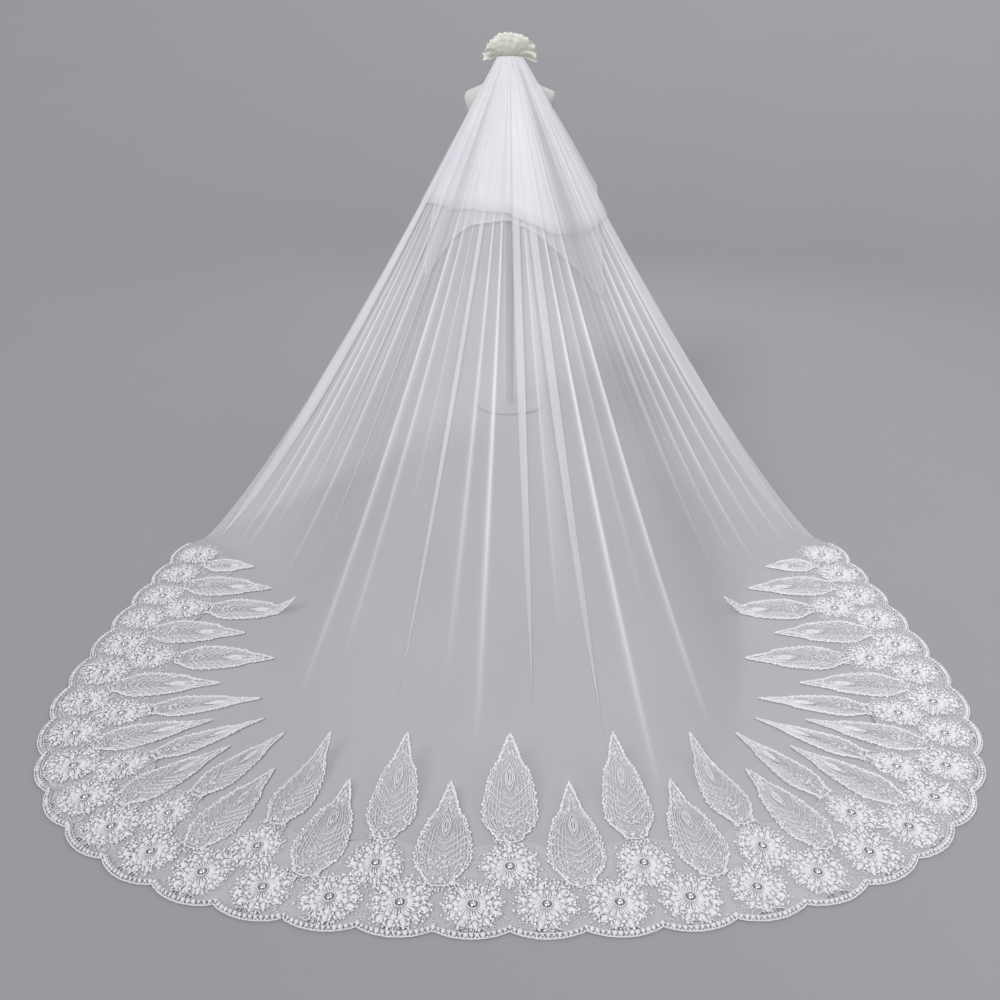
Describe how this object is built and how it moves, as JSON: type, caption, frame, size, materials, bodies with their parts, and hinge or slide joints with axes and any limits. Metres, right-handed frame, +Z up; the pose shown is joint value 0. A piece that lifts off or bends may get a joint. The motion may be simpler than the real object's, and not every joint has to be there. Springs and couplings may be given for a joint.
{
  "type": "bridal veil on a dress form",
  "caption": "Two-tier cathedral bridal veil of sheer tulle with a scalloped lace train and a fabric flower comb, draped from a limbless dress form on a stand.",
  "frame": {"origin": "centre of the stand's base on the floor", "axes": "+Z up, the form faces +Y, and the train spreads towards -Y"},
  "size_m": [2.1848, 3.2072, 1.5537],
  "materials": {
    "tulle": "sheer soft net",
    "lace": "corded embroidery on net, with sequins",
    "ivory_fabric": "matte",
    "form_cover": "matte jersey",
    "stand_metal": "satin",
    "comb_plastic": "clear, satin"
  },
  "bodies": {
    "root": {"comb": "comb_plastic", "form_arm_plate_left": "form_cover", "form_arm_plate_right": "form_cover", "form_neck_cap": "form_cover", "form_torso": "form_cover", "headpiece_pad": "ivory_fabric", "headpiece_petal_left": "ivory_fabric", "headpiece_petal_right": "ivory_fabric", "headpiece_ruffle_back": "ivory_fabric", "headpiece_ruffle_front": "ivory_fabric", "headpiece_ruffle_low": "ivory_fabric", "headpiece_ruffle_middle": "ivory_fabric", "lace_band_front": "lace", "lace_band_left_corner": "lace", "lace_band_left_side": "lace", "lace_band_right_corner": "lace", "lace_band_right_side": "lace", "leaf_end_left": "lace", "leaf_end_right": "lace", "leaf_short_01": "lace", "leaf_short_02": "lace", "leaf_short_03": "lace", "leaf_short_04": "lace", "leaf_short_05": "lace", "leaf_short_06": "lace", "leaf_short_07": "lace", "leaf_short_08": "lace", "leaf_short_09": "lace", "leaf_short_10": "lace", "leaf_short_11": "lace", "leaf_short_12": "lace", "leaf_short_13": "lace", "leaf_short_14": "lace", "leaf_short_15": "lace", "leaf_short_16": "lace", "leaf_tall_01": "lace", "leaf_tall_02": "lace", "leaf_tall_03": "lace", "leaf_tall_04": "lace", "leaf_tall_05": "lace", "leaf_tall_06": "lace", "leaf_tall_07": "lace", "leaf_tall_08": "lace", "leaf_tall_09": "lace", "leaf_tall_10": "lace", "leaf_tall_11": "lace", "leaf_tall_12": "lace", "leaf_tall_13": "lace", "leaf_tall_14": "lace", "leaf_tall_15": "lace", "long_tier_centre_left": "tulle", "long_tier_centre_right": "tulle", "long_tier_left": "tulle", "long_tier_right": "tulle", "short_tier": "tulle", "stand_base": "stand_metal", "stand_pole": "stand_metal"}
  },
  "joints": []
}
